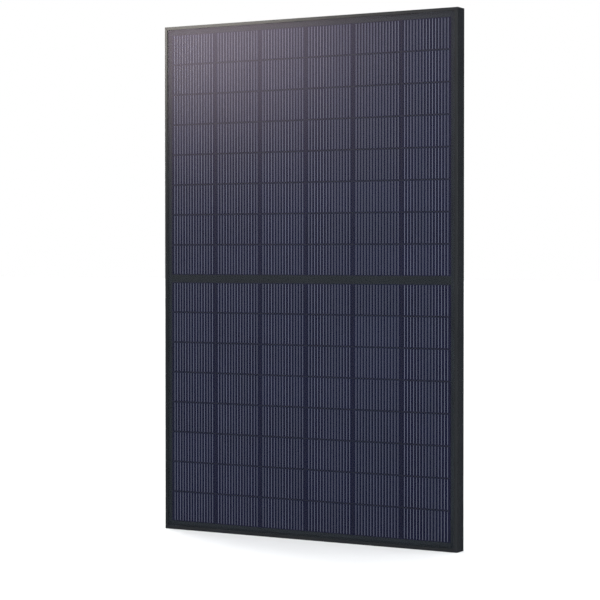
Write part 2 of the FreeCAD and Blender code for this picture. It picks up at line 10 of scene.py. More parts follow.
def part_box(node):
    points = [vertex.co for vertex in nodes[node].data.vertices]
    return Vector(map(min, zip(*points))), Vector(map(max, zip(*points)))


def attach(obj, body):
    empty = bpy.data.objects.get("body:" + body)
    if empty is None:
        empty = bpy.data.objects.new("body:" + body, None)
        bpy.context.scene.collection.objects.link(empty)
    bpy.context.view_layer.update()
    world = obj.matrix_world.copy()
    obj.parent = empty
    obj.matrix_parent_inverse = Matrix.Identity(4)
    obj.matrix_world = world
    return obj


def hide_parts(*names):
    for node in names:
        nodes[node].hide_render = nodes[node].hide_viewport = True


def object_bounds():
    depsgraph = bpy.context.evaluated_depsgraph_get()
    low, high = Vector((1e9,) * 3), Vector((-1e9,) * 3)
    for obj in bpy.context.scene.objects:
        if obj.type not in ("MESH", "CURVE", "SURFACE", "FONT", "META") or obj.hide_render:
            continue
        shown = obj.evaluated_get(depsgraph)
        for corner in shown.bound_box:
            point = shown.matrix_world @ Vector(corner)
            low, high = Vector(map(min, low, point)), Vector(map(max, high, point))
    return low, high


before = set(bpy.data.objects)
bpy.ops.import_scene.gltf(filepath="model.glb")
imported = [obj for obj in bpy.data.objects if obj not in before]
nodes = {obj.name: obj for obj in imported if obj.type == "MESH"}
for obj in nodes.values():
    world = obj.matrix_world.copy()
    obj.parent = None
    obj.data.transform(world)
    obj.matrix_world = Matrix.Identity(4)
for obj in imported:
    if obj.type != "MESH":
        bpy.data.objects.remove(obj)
cad_low, cad_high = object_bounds()

MM = 0.001

# Outer size and the levels that pieces are built from. Y runs from the front (-) to the rear (0).
WIDTH = cad_high.x - cad_low.x
HEIGHT = cad_high.z - cad_low.z
FRONT = cad_low.y
GLASS_LOW, GLASS_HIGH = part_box("front_glass")
BACKSHEET_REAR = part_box("backsheet")[1].y
SEALANT_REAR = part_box("sealant_left")[1].y

# Frame section
WALL = 1.6 * MM
LIP = 11 * MM
FLANGE = 30 * MM
FLANGE_BEAD = 3.2 * MM
OUTER_ROUND = 0.5 * MM
EDGE_ROUND = 0.3 * MM
ROUND_STEPS = 4
STADIUM_STEPS = 12
MITRE_GAP = 0.12 * MM
HOLE_LINE = 20.5 * MM
SLOT_LENGTH = 14 * MM
SLOT_WIDTH = 9 * MM
SLOT_SPACINGS = (990 * MM, 1400 * MM)
EARTH_SPACING = 800 * MM
EARTH_RADIUS = 2.1 * MM
ARC_GAP = 0.001 * MM  # keeps the two arcs of a round hole apart
DRAIN_INSET = 90 * MM
DRAIN_LENGTH = 10 * MM
DRAIN_WIDTH = 4 * MM

# Silicone pressed out between the backsheet and the rails
REAR_BEAD_REACH = 2.6 * MM
REAR_BEAD_RISE = 1.9 * MM
REAR_BEAD_OVERLAP = 0.2 * MM
REAR_BEAD_STEPS = 5

# Cells: the field's left and bottom edges are those of the upper half's first column.
ROWS = 8  # in each half of the panel
COLUMNS = 6
ROW_GAP = 1.9 * MM
CELL_LOW, CELL_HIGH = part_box("cells_upper_1")
FIELD_LEFT = CELL_LOW.x
FIELD_BOTTOM = CELL_LOW.z
CELL_WIDTH = CELL_HIGH.x - CELL_LOW.x
COLUMN_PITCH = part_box("cells_upper_2")[0].x - CELL_LOW.x
ROW_PITCH = (CELL_HIGH.z - CELL_LOW.z + ROW_GAP) / ROWS
CELL_HEIGHT = ROW_PITCH - ROW_GAP
LINE_PITCH = 11.2 * MM
LINE_END = 2.2 * MM  # wires are dark this near a cell's upper and lower edge
FINGER_PITCH = 1.5 * MM
FINGER_SHARE = 0.022  # half a printed finger's width, as a share of the pitch

# Glass and backsheet
GLASS_CORNER = 1.5 * MM
GLASS_BEVEL = 0.4 * MM
CLEAR_GAP = 0.05 * MM  # between the clear slab and the backsheet
CELL_RAISE = 0.3 * MM  # how far the backsheet stands out over a cell
CELL_RAMP = 2.5 * MM  # the width over which it rises
SEAM = 1.5 * MM  # the rear film is darkest, by painted shade, and dullest this near the middle of a gap between cells
RIDGE = 1.2 * MM  # half the width of a wire's ridge in the rear film

# Boxes, glands and label
BOX_SIDES = ("left", "middle", "right")
BOX_CORNER = 4 * MM
LATCH_PLACES = (-28 * MM, 28 * MM)
LATCH_ROOM = 6 * MM  # no rib stands this near the middle of a latch
LATCH = (9 * MM, 3.2 * MM, 0.8 * MM)  # width, height and corner radius, as in the two below
LATCH_NOSE = (8 * MM, 1.6 * MM, 0.6 * MM)
RIB = (1.2 * MM, 1.8 * MM, 0.4 * MM)
RIB_PITCH = 6 * MM
RIB_START = 2.6 * MM  # behind the box's foot
RIB_END = 0.8 * MM  # in front of its rim
LATCH_STEPS = (-6 * MM, -4.6 * MM, 1.6 * MM)  # behind the rim: the nose, and the latch's start and end
LID_MARGINS = (22 * MM, 18 * MM)  # the box's size less the lid panel's
BOX_ROUND = 0.4 * MM
LID_ROUND = 0.8 * MM
WELD_REACH = 0.002 * MM
BEVEL_SEGMENTS = 2
BEVEL_ANGLE = math.radians(40)
# In mm: outset, rise and corner radius of the lid panel's steps, and outset and rise round the bead of glue
LID_PANEL = ((0, -0.3, 4.0), (0, 0.35, 4.0), (-0.6, 0.7, 3.6))
BEAD = ((-1.0, 0.0), (1.9, 0.0), (2.1, 0.5), (1.7, 1.2), (0.9, 1.9), (0.1, 2.3), (-1.0, 2.3))
# In mm: places along the gland's axis and radii, with the shape of the rim there
GLAND_LENGTH = 22
GLAND_PROFILE = (
    (0.0, 4.5, "round"), (2.0, 4.5, "round"), (2.0, 7.7, "six"), (2.5, 8.0, "six"), (6.4, 8.0, "six"),
    (7.0, 7.6, "six"), (7.0, 6.3, "round"), (7.8, 6.3, "round"), (8.0, 6.9, "ribs"), (15.2, 6.8, "ribs"),
    (16.0, 6.2, "round"), (18.0, 5.9, "round"), (20.2, 5.3, "round"), (21.6, 4.6, "round"),
    (22.0, 4.0, "round"), (21.6, 3.3, "round"), (20.6, 3.1, "round"), (0.0, 3.1, "round"),
)
GLAND_SIDES = 72
RIB_SIDES = 4
GLAND_FLAT = 0.9  # a flat's distance from the axis, as a share of its corner's
GLAND_GROOVE = 0.35  # in mm: the nut has two sides raised and two sunk by this, in turn
GLAND_SHARP = 30.0
LABEL_CORNER = 3 * MM
LABEL_MARGIN = 3 * MM
LABEL_LINE = 0.5 * MM
LABEL_ROW = 8 * MM
LABEL_THICKNESS = 0.15 * MM

# A noise mostly lies between the first two values. The other two are for clouds with more contrast.
NOISE_LOW = 0.3
NOISE_HIGH = 0.7
CLOUD_LOW = 0.35
CLOUD_HIGH = 0.65

# Studio. Ceiling and ground starts and ends are heights of a direction's unit vector. A wall patch has its
# direction, the cosines of the angles from it where it starts and is full, and its light.
FLOOR_REACH = 60.0
WALL_LIGHT = 0.26
WALL_PATCHES = (
    ((0.94, 0.34, -0.05), 0.86, 0.98, 2.6),
    ((-0.80, 0.60, -0.10), 0.86, 0.98, 2.2),
    ((-0.25, 0.96, 0.10), 0.84, 0.98, 1.1),
    ((0.5, 0.866, 0.0), 0.86, 0.96, 0.04),
)
CEILING_LIGHT = 1.9
CEILING_START = 0.4
CEILING_FULL = 0.8
GROUND_START = -0.2
GROUND_FULL = -0.5
GROUND_LIGHT = 0.6
WHITE = (1, 1, 1)
WARM = (1.0, 0.93, 0.84)

# Camera
CAMERA_AZIMUTH = math.radians(29.99)
CAMERA_ELEVATION = math.radians(1.0)
CAMERA_DISTANCE = 6.5957
CAMERA_TARGET = Vector((-0.0479, 0.0, -0.0343))
CAMERA_LENS = 116.17
CAMERA_SENSOR = 36.0
CAMERA_SHIFT = -0.0179


# Node helpers


class Nodes:
    """Makes and links the nodes of one material, or of the world."""

    def __init__(self, owner, output="OutputMaterial"):
        self.owner = owner
        self.owner.use_nodes = True
        self.tree = self.owner.node_tree
        self.tree.nodes.clear()
        self.output = self.tree.nodes.new("ShaderNode" + output)

    def add(self, kind, inputs=None, **settings):
        """A new node with its settings and inputs. An input is a number, a colour or a node's output."""
        node = self.tree.nodes.new("ShaderNode" + kind)
        for key, value in settings.items():
            setattr(node, key, value)
        for key, value in (inputs or {}).items():
            self.feed(node.inputs[key], value)
        return node

    def feed(self, socket, value):
        if isinstance(value, bpy.types.NodeSocket):
            self.tree.links.new(value, socket)
        else:
            socket.default_value = value

    def place(self):
        """The point on the object, in its own metres."""
        return self.add("TexCoord").outputs["Object"]

    def maths(self, operation, first, second=0.0, third=0.0):
        return self.add("Math", {0: first, 1: second, 2: third}, operation=operation).outputs[0]

    def split(self, vector):
        return self.add("SeparateXYZ", {0: vector}).outputs

    def join(self, across, back, up):
        return self.add("CombineXYZ", {0: across, 1: back, 2: up}).outputs[0]

    def stretched(self, vector, scales):
        return self.add("VectorMath", {0: vector, 1: scales}, operation="MULTIPLY").outputs[0]

    def noise(self, vector, scale, detail=2.0, roughness=0.5):
        inputs = {"Vector": vector, "Scale": scale, "Detail": detail, "Roughness": roughness}
        return self.add("TexNoise", inputs).outputs[0]

    def ramp(self, value, low, high, new_low=0.0, new_high=1.0):
        inputs = {0: value, 1: low, 2: high, 3: new_low, 4: new_high}
        return self.add("MapRange", inputs).outputs[0]

    def vary(self, noise, low=0.0, high=1.0):
        """A number between low and high that follows a noise."""
        return self.ramp(noise, NOISE_LOW, NOISE_HIGH, low, high)

    def mix(self, share, first, second):
        """A colour between two colours."""
        node = self.add("Mix", data_type="RGBA")
        self.feed(node.inputs[0], share)
        self.feed(node.inputs[6], first)
        self.feed(node.inputs[7], second)
        return node.outputs[2]

    def bump(self, height, strength, distance):
        inputs = {"Height": height, "Strength": strength, "Distance": distance}
        return self.add("Bump", inputs).outputs[0]

    def finish(self, shader):
        self.tree.links.new(shader.outputs[0], self.output.inputs[0])
        return self.owner


def new_material(name):
    return Nodes(bpy.data.materials.new(name))


def rgb(red, green, blue):
    return (red, green, blue, 1.0)


# Materials


def anodised_black():
    """Black anodised extrusion: fine lines along the bar's own Z, a satin surface and faint clouding."""
    make = new_material("anodised_black")
    place = make.place()
    along_bar = make.stretched(place, (1.0, 1.0, 0.004))
    lines = make.noise(along_bar, scale=2600.0, detail=3.0, roughness=0.6)
    grain = make.noise(place, scale=5200.0, detail=2.0, roughness=0.6)
    cloud = make.noise(place, scale=7.0, detail=3.0)
    colour = make.mix(make.vary(cloud), rgb(0.0118, 0.0134, 0.0158), rgb(0.0152, 0.0170, 0.0196))
    colour = make.mix(make.maths("MULTIPLY", lines, 0.35), colour, rgb(0.019, 0.021, 0.024))
    rough = make.maths("ADD", make.vary(grain, 0.19, 0.25), make.vary(lines, -0.015, 0.015))
    relief = make.maths("ADD", make.maths("MULTIPLY", lines, 0.6), make.maths("MULTIPLY", grain, 0.4))
    inputs = {"Base Color": colour, "Roughness": rough, "Specular IOR Level": 0.33}
    shader = make.add("BsdfPrincipled", inputs)
    make.feed(shader.inputs["Normal"], make.bump(relief, strength=0.12, distance=0.02 * MM))
    return make.finish(shader)


def solar_glass():
    """Clear solar glass with an anti-reflective, softly mirroring front. Lamps reach the cells through it."""
    make = new_material("solar_glass")
    place = make.place()
    texture = make.noise(place, scale=900.0, detail=2.0, roughness=0.5)
    smear = make.noise(place, scale=3.0, detail=3.0)
    rough = make.maths("ADD", make.vary(smear, 0.245, 0.255), make.vary(texture, 0.0, 0.01))
    fresnel = make.add("Fresnel", {"IOR": 1.38}).outputs[0]
    tint = make.mix(make.ramp(fresnel, 0.03, 0.15), rgb(0.90, 0.80, 1.0), rgb(0.90, 0.92, 0.95))
    mirror = make.add("BsdfGlossy", {"Color": tint, "Roughness": rough})
    make.feed(mirror.inputs["Normal"], make.bump(texture, strength=0.05, distance=0.02 * MM))
    clear = make.add("BsdfTransparent", {"Color": rgb(0.965, 0.975, 0.97)})
    front = make.maths("SUBTRACT", 1.0, make.add("NewGeometry").outputs["Backfacing"])
    share = make.maths("MULTIPLY", fresnel, front)
    both = make.add("MixShader", {0: share, 1: clear.outputs[0], 2: mirror.outputs[0]})
    return make.finish(both)


def silicon_cell():
    """Dark blue monocrystalline half cells with fine printed fingers. Each differs a little from the next."""
    make = new_material("silicon_cell")
    place = make.place()
    across, _, up = make.split(place)
    half = make.maths("SIGN", up)
    from_start = make.maths("SUBTRACT", make.maths("ABSOLUTE", up), FIELD_BOTTOM - ROW_GAP / 2)
    row = make.maths("FLOOR", make.maths("DIVIDE", from_start, ROW_PITCH))
    column = make.maths("FLOOR", make.maths("DIVIDE", across, COLUMN_PITCH))
    one_cell = make.add("TexWhiteNoise", {"Vector": make.join(column, half, row)}, noise_dimensions="3D")
    shade = one_cell.outputs["Value"]
    cloud = make.noise(place, scale=9.0, detail=3.0)
    colour = make.mix(shade, rgb(0.0038, 0.0052, 0.0185), rgb(0.0052, 0.0067, 0.0235))
    colour = make.mix(make.ramp(cloud, CLOUD_LOW, CLOUD_HIGH, 0.0, 0.45), colour, rgb(0.0054, 0.0067, 0.0248))
    wave = make.maths("FRACT", make.maths("DIVIDE", up, FINGER_PITCH))
    finger = make.maths("LESS_THAN", make.maths("ABSOLUTE", make.maths("SUBTRACT", wave, 0.5)), FINGER_SHARE)
    colour = make.mix(make.maths("MULTIPLY", finger, 0.5), colour, rgb(0.026, 0.028, 0.042))
    rough = make.vary(make.noise(place, scale=1500.0, detail=2.0), 0.42, 0.55)
    inputs = {"Base Color": colour, "Roughness": rough, "Specular IOR Level": 0.04}
    shader = make.add("BsdfPrincipled", inputs)
    return make.finish(shader)


def tinned_ribbon():
    """Tin-coated flat wire: satin grey over the cells, dark near their edges and through the gaps."""
    make = new_material("tinned_ribbon")
    place = make.place()
    up = make.maths("SUBTRACT", make.maths("ABSOLUTE", make.split(place)[2]), FIELD_BOTTOM)
    along = make.maths("MULTIPLY", make.maths("FRACT", make.maths("DIVIDE", up, ROW_PITCH)), ROW_PITCH)
    from_middle = make.maths("ABSOLUTE", make.maths("SUBTRACT", along, CELL_HEIGHT / 2))
    from_edge = make.maths("SUBTRACT", CELL_HEIGHT / 2, from_middle)
    bright = make.maths("GREATER_THAN", from_edge, LINE_END)
    along_wire = make.stretched(place, (1.0, 1.0, 0.05))
    streak = make.noise(along_wire, scale=1800.0, detail=3.0, roughness=0.6)
    cloud = make.noise(place, scale=6.0, detail=2.0)
    tin = make.mix(streak, rgb(0.149, 0.167, 0.233), rgb(0.195, 0.212, 0.292))
    tin = make.mix(make.ramp(cloud, CLOUD_LOW, CLOUD_HIGH, 0.0, 0.4), tin, rgb(0.162, 0.174, 0.249))
    colour = make.mix(bright, rgb(0.012, 0.013, 0.016), tin)
    rough = make.vary(streak, 0.24, 0.28)
    inputs = {"Base Color": colour, "Roughness": rough, "Specular IOR Level": 0.3}
    shader = make.add("BsdfPrincipled", inputs)
    return make.finish(shader)


def black_film(name, dark, light, grain_size):
    """Matt black film or coating with a fine emboss. Films bonded under the glass have almost no gloss."""
    make = new_material(name)
    place = make.place()
    grain = make.noise(place, scale=grain_size, detail=3.0, roughness=0.6)
    cloud = make.noise(place, scale=5.0, detail=2.0)
    colour = make.mix(make.vary(cloud), dark, light)
    rough = make.vary(grain, 0.45, 0.6)
    inputs = {"Base Color": colour, "Roughness": rough, "Specular IOR Level": 0.05}
    shader = make.add("BsdfPrincipled", inputs)
    make.feed(shader.inputs["Normal"], make.bump(grain, strength=0.2, distance=0.03 * MM))
    return make.finish(shader)


def rear_film():
    """The weather side of the backsheet: satin black film, duller where it sinks between cells, where a
    painted shade also darkens it, with the cells' wires as faint ridges."""
    make = new_material("rear_film")
    place = make.place()
    across, _, up = make.split(place)
    column = make.maths("SUBTRACT", across, FIELD_LEFT + (CELL_WIDTH - COLUMN_PITCH) / 2)
    row = make.maths("SUBTRACT", make.maths("ABSOLUTE", up), FIELD_BOTTOM - ROW_GAP / 2)
    from_side = make.maths("PINGPONG", column, COLUMN_PITCH / 2)
    from_end = make.maths("PINGPONG", row, ROW_PITCH / 2)
    over_cell = make.ramp(make.maths("MINIMUM", from_side, from_end), SEAM, 2 * SEAM)
    grain = make.noise(place, scale=1700.0, detail=3.0, roughness=0.6)
    waves = make.noise(place, scale=14.0, detail=3.0)
    ridge = make.maths("PINGPONG", make.maths("SUBTRACT", across, FIELD_LEFT), LINE_PITCH / 2)
    ridge = make.ramp(ridge, LINE_PITCH / 2 - RIDGE, LINE_PITCH / 2)
    relief = make.maths("ADD", make.maths("MULTIPLY", ridge, 0.8), make.maths("MULTIPLY", waves, 2.0))
    relief = make.maths("ADD", relief, make.maths("MULTIPLY", grain, 0.12))
    colour = make.mix(make.vary(waves), rgb(0.0185, 0.0190, 0.0200), rgb(0.0225, 0.0230, 0.0240))
    # painted shade: the film's colour darkens towards the middle of each gap between cells
    colour = make.mix(over_cell, rgb(0.008, 0.008, 0.0085), colour)
    rough = make.maths("ADD", make.vary(grain, 0.25, 0.33), make.ramp(over_cell, 0.0, 1.0, 0.15, 0.0))
    shader = make.add("BsdfPrincipled", {"Base Color": colour, "Roughness": rough})
    make.feed(shader.inputs["Normal"], make.bump(relief, strength=1.0, distance=0.25 * MM))
    return make.finish(shader)


def moulded_black(name, grain_size=2200.0):
    """Spark-eroded black moulding."""
    make = new_material(name)
    place = make.place()
    grain = make.noise(place, scale=grain_size, detail=3.0, roughness=0.65)
    cloud = make.noise(place, scale=30.0, detail=2.0)
    colour = make.mix(make.vary(cloud), rgb(0.012, 0.012, 0.0126), rgb(0.016, 0.016, 0.0166))
    rough = make.vary(grain, 0.23, 0.37)
    shader = make.add("BsdfPrincipled", {"Base Color": colour, "Roughness": rough})
    make.feed(shader.inputs["Normal"], make.bump(grain, strength=0.3, distance=0.04 * MM))
    return make.finish(shader)


def silicone(name, dark, light):
    """Cured silicone: smooth, a little uneven and satin."""
    make = new_material(name)
    place = make.place()
    lumps = make.noise(place, scale=120.0, detail=3.0)
    colour = make.mix(lumps, dark, light)
    rough = make.vary(lumps, 0.32, 0.46)
    shader = make.add("BsdfPrincipled", {"Base Color": colour, "Roughness": rough})
    make.feed(shader.inputs["Normal"], make.bump(lumps, strength=0.5, distance=0.25 * MM))
    return make.finish(shader)


def plain_metal(name, dark, light, roughness):
    """Drawn or stamped metal with fine marks."""
    make = new_material(name)
    place = make.place()
    drawn = make.stretched(place, (1.0, 1.0, 0.1))
    marks = make.noise(drawn, scale=900.0, detail=3.0, roughness=0.6)
    colour = make.mix(marks, dark, light)
    rough = make.vary(marks, roughness - 0.08, roughness + 0.08)
    shader = make.add("BsdfPrincipled", {"Base Color": colour, "Roughness": rough, "Metallic": 1.0})
    return make.finish(shader)


def blank_label():
    """Silver-white film with a printed border and blank ruled rows, and no lettering."""
    make = new_material("blank_label")
    place = make.place()
    low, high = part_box("rating_label")
    middle = (low + high) / 2
    half = (high - low) / 2
    across, _, up = make.split(place)
    aside = make.maths("ABSOLUTE", make.maths("SUBTRACT", across, middle.x))
    above = make.maths("ABSOLUTE", make.maths("SUBTRACT", up, middle.z))
    from_side = make.maths("SUBTRACT", half.x, aside)
    from_end = make.maths("SUBTRACT", half.z, above)
    inset = make.maths("MINIMUM", from_side, from_end)
    border = make.maths("COMPARE", inset, LABEL_MARGIN, LABEL_LINE)
    row = make.maths("PINGPONG", make.maths("SUBTRACT", up, middle.z), LABEL_ROW / 2)
    ruled = make.maths("LESS_THAN", row, LABEL_LINE / 2)
    column = make.maths("COMPARE", across, middle.x, LABEL_LINE / 2)
    inside = make.maths("GREATER_THAN", inset, LABEL_MARGIN)
    lines = make.maths("MULTIPLY", make.maths("MAXIMUM", ruled, column), inside)
    ink = make.maths("MAXIMUM", border, lines)
    fibre = make.noise(place, scale=700.0, detail=3.0)
    paper = make.mix(fibre, rgb(0.60, 0.61, 0.62), rgb(0.70, 0.71, 0.72))
    colour = make.mix(ink, paper, rgb(0.06, 0.06, 0.065))
    rough = make.vary(fibre, 0.38, 0.5)
    shader = make.add("BsdfPrincipled", {"Base Color": colour, "Roughness": rough})
    make.feed(shader.inputs["Normal"], make.bump(fibre, strength=0.15, distance=0.02 * MM))
    return make.finish(shader)


# Mesh helpers


def new_piece(name, bm, material, replaces=()):
    """Turns a bmesh into a piece with its material. It may stand for CAD nodes."""
    bmesh.ops.recalc_face_normals(bm, faces=bm.faces)
    mesh = bpy.data.meshes.new(name)
    bm.to_mesh(mesh)
    bm.free()
    piece = bpy.data.objects.new(name, mesh)
    bpy.context.scene.collection.objects.link(piece)
    mesh.materials.append(material)
    if replaces:
        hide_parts(*replaces)
    return piece


def smooth_edges(piece, angle=35.0):
    """Smooth shading, except at edges sharper than the angle."""
    piece.data.shade_smooth()
    piece.data.set_sharp_from_angle(angle=math.radians(angle))
    weighted = piece.modifiers.new("weighted", "WEIGHTED_NORMAL")
    weighted.keep_sharp = True


def rounded(corners, default_radius, radii=None):
    """A closed outline with each corner turned into an arc. radii gives other radii by corner number."""
    outline = []
    count = len(corners)
    for index, corner in enumerate(corners):
        here = Vector(corner)
        before = (Vector(corners[index - 1]) - here).normalized()
        after = (Vector(corners[(index + 1) % count]) - here).normalized()
        radius = (radii or {}).get(index, default_radius)
        half = before.angle(after) / 2
        reach = radius / math.tan(half)
        centre = here + (before + after).normalized() * (radius / math.sin(half))
        start = (here + before * reach) - centre
        end = (here + after * reach) - centre
        turn = start.angle_signed(end)
        for step in range(ROUND_STEPS + 1):
            arm = start.copy()
            arm.rotate(Matrix.Rotation(-turn * step / ROUND_STEPS, 2))
            outline.append(centre + arm)
    return outline


def rectangle(width, height, radius):
    """A rounded rectangle about the origin."""
    across, up = width / 2, height / 2
    return rounded([(-across, -up), (across, -up), (across, up), (-across, up)], radius)


def join_rings(bm, first, second):
    """Quads between two rings of vertices."""
    for index in range(len(first)):
        following = (index + 1) % len(first)
        bm.faces.new((first[index], first[following], second[following], second[index]))


def add_layers(bm, layers, across=0.0, up=0.0):
    """A closed solid through outlines of as many points, each at its own Y."""
    rings = []
    for outline, back in layers:
        rings.append([bm.verts.new((across + p.x, back, up + p.y)) for p in outline])
    for first, second in zip(rings, rings[1:]):
        join_rings(bm, first, second)
    bm.faces.new(rings[0])
    bm.faces.new(rings[-1])


def mitred_bar(outline, length, gap=MITRE_GAP):
    """A bar with this section, mitred at both ends, that runs along its own Z. The outline's X is inward from
    the outer edge and its Y is the panel's Y."""
    bm = bmesh.new()
    rings = []
    for side in (-1, 1):
        rings.append([bm.verts.new((p.x, p.y, side * (length / 2 - p.x - gap))) for p in outline])
    join_rings(bm, *rings)
    bm.faces.new(rings[0])
    bm.faces.new(rings[1])
    return bm


def turn_about_y(piece, turn, across=0.0, up=0.0):
    """Sets a piece that was built along its own Z into the frame."""
    piece.matrix_world = Matrix.Translation((across, 0, up)) @ Matrix.Rotation(math.radians(turn), 4, "Y")


def stadium(length, width):
    """A round-ended slot outline that runs along its second axis."""
    radius = width / 2
    points = []
    for middle, start in ((length / 2 - radius, 0.0), (radius - length / 2, math.pi)):
        for step in range(STADIUM_STEPS + 1):
            angle = start + math.pi * step / STADIUM_STEPS
            points.append(Vector((radius * math.cos(angle), middle + radius * math.sin(angle))))
    return points


def cut(piece, cutters):
    """Cuts a bmesh of closed prisms out of a piece."""
    bmesh.ops.recalc_face_normals(cutters, faces=cutters.faces)
    mesh = bpy.data.meshes.new("cutter")
    cutters.to_mesh(mesh)
    cutters.free()
    tool = bpy.data.objects.new("cutter", mesh)
    bpy.context.scene.collection.objects.link(tool)
    modifier = piece.modifiers.new("holes", "BOOLEAN")
    modifier.operation = "DIFFERENCE"
    modifier.solver = "EXACT"
    modifier.object = tool
    graph = bpy.context.evaluated_depsgraph_get()
    result = bpy.data.meshes.new_from_object(piece.evaluated_get(graph))
    piece.modifiers.clear()
    piece.data = result
    bpy.data.objects.remove(tool)


# Frame. Each rail has its length, its turn about Y in degrees, and the place of its outer edge.
SIDES = {
    "left": (HEIGHT, 0, -WIDTH / 2, 0.0),
    "right": (HEIGHT, 180, WIDTH / 2, 0.0),
    "top": (WIDTH, 90, 0.0, HEIGHT / 2),
    "bottom": (WIDTH, 270, 0.0, -HEIGHT / 2),
}


def rail_outline():
    """Front lip, slot for the laminate, body without its inner chamber, and rear flange with its bead."""
    corners = [
        (0, FRONT),
        (LIP, FRONT),
        (LIP, FRONT + WALL),
        (WALL, FRONT + WALL),
        (WALL, SEALANT_REAR),
        (LIP, SEALANT_REAR),
        (LIP, -WALL),
        (FLANGE - WALL, -WALL),
        (FLANGE - WALL, -FLANGE_BEAD),
        (FLANGE, -FLANGE_BEAD),
        (FLANGE, 0),
        (0, 0),
    ]
    return rounded(corners, EDGE_ROUND, {0: OUTER_ROUND, len(corners) - 1: OUTER_ROUND})


def rail_cutters(side, length):
    """Slots, earthing holes and drains of one rail."""
    bm = bmesh.new()
    beyond = 5 * MM
    for way in (-1, 1):
        drain = stadium(DRAIN_LENGTH, DRAIN_WIDTH)
        add_layers(bm, [(drain, -3 * WALL), (drain, beyond)], LIP / 2, way * (length / 2 - DRAIN_INSET))
        if side in ("left", "right"):
            for spacing in SLOT_SPACINGS:
                slot = stadium(SLOT_LENGTH, SLOT_WIDTH)
                add_layers(bm, [(slot, -beyond), (slot, beyond)], HOLE_LINE, way * spacing / 2)
            hole = stadium(2 * EARTH_RADIUS, 2 * EARTH_RADIUS - ARC_GAP)
            add_layers(bm, [(hole, -beyond), (hole, beyond)], HOLE_LINE, way * EARTH_SPACING / 2)
    return bm


def build_frame(material):
    outline = rail_outline()
    for side, (length, turn, across, up) in SIDES.items():
        bar = mitred_bar(outline, length)
        rail = new_piece(f"frame_{side}", bar, material, [f"rail_{side}"])
        cut(rail, rail_cutters(side, length))
        smooth_edges(rail)
        turn_about_y(rail, turn, across, up)
        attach(rail, "root")


def build_rear_bead(material):
    """The silicone that is pressed out where the backsheet meets the rails."""
    under_rail = LIP - REAR_BEAD_OVERLAP
    top = BACKSHEET_REAR + REAR_BEAD_RISE
    outline = [Vector((under_rail, BACKSHEET_REAR)), Vector((LIP + REAR_BEAD_REACH, BACKSHEET_REAR))]
    for step in range(1, REAR_BEAD_STEPS):
        angle = math.pi / 2 * step / REAR_BEAD_STEPS
        inward = LIP + REAR_BEAD_REACH * (1 - math.sin(angle))
        outline.append(Vector((inward, BACKSHEET_REAR + REAR_BEAD_RISE * (1 - math.cos(angle)))))
    outline += [Vector((LIP, top)), Vector((under_rail, top))]
    for side, (length, turn, across, up) in SIDES.items():
        bead = new_piece(f"rear_bead_{side}", mitred_bar(outline, length, 0.0), material)
        smooth_edges(bead)
        turn_about_y(bead, turn, across, up)
        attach(bead, "root")


# Laminate


def steps_over_cells(starts, size, low, high):
    """Places across the backsheet's rear and how raised each is: 1 on a cell, 0 at its edge and beyond."""
    steps = [(low, 0.0)]
    for start in starts:
        end = start + size
        steps += [(start, 0.0), (start + CELL_RAMP, 1.0), (end - CELL_RAMP, 1.0), (end, 0.0)]
    return steps + [(high, 0.0)]


def build_glass():
    """The glass with its bonded clear films: one clear slab, since nothing shows between bonded layers."""
    width = GLASS_HIGH.x - GLASS_LOW.x
    height = GLASS_HIGH.z - GLASS_LOW.z
    outline = rectangle(width, height, GLASS_CORNER)
    inner = rectangle(width - 2 * GLASS_BEVEL, height - 2 * GLASS_BEVEL, GLASS_CORNER)
    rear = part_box("encapsulant_rear")[1].y - CLEAR_GAP
    bm = bmesh.new()
    add_layers(bm, [(inner, GLASS_LOW.y), (outline, GLASS_LOW.y + GLASS_BEVEL), (outline, rear)])
    clear_nodes = ["front_glass", "encapsulant_front", "encapsulant_rear"]
    glass = new_piece("clear_front", bm, solar_glass(), clear_nodes)
    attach(glass, "root")


def build_backsheet(front_film):
    """Black film whose rear stands out a little over each cell."""
    low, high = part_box("backsheet")
    column_starts = [FIELD_LEFT + COLUMN_PITCH * column for column in range(COLUMNS)]
    upper_starts = [FIELD_BOTTOM + ROW_PITCH * row for row in range(ROWS)]
    lower_starts = [-start - CELL_HEIGHT for start in reversed(upper_starts)]
    across_steps = steps_over_cells(column_starts, CELL_WIDTH, low.x, high.x)
    up_steps = steps_over_cells(lower_starts + upper_starts, CELL_HEIGHT, low.z, high.z)
    bm = bmesh.new()
    front = [[bm.verts.new((x, low.y, z)) for x, _ in across_steps] for z, _ in up_steps]
    rear = []
    for z, up_raise in up_steps:
        line = [(x, high.y + CELL_RAISE * raised * up_raise, z) for x, raised in across_steps]
        rear.append([bm.verts.new(point) for point in line])
    for row in range(len(up_steps) - 1):
        for column in range(len(across_steps) - 1):
            for sheet in (front, rear):
                below, above = sheet[row], sheet[row + 1]
                face = bm.faces.new((below[column], below[column + 1], above[column + 1], above[column]))
                face.material_index = 1 if sheet is rear else 0
    outlines = []
    for sheet in (front, rear):
        right = [line[-1] for line in sheet]
        left = [line[0] for line in sheet]
        outlines.append(sheet[0][:-1] + right[:-1] + sheet[-1][:0:-1] + left[:0:-1])
    join_rings(bm, *outlines)
    film = new_piece("backsheet_film", bm, front_film, ["backsheet"])
    film.data.materials.append(rear_film())
    smooth_edges(film)
    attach(film, "root")


# Boxes, glands and label


def add_bead(bm, across):
    """The adhesive that is pressed out round a junction box's foot."""
    low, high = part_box("junction_box_middle")
    width, height = high.x - low.x, high.z - low.z
    base = BACKSHEET_REAR + CELL_RAISE / 2
    rings = []
    for outset, rise in BEAD:
        outline = rectangle(width + 2 * outset * MM, height + 2 * outset * MM, BOX_CORNER + outset * MM)
        rings.append([bm.verts.new((across + p.x, base + rise * MM, p.y)) for p in outline])
    for first, second in zip(rings, rings[1:] + rings[:1]):
        join_rings(bm, first, second)


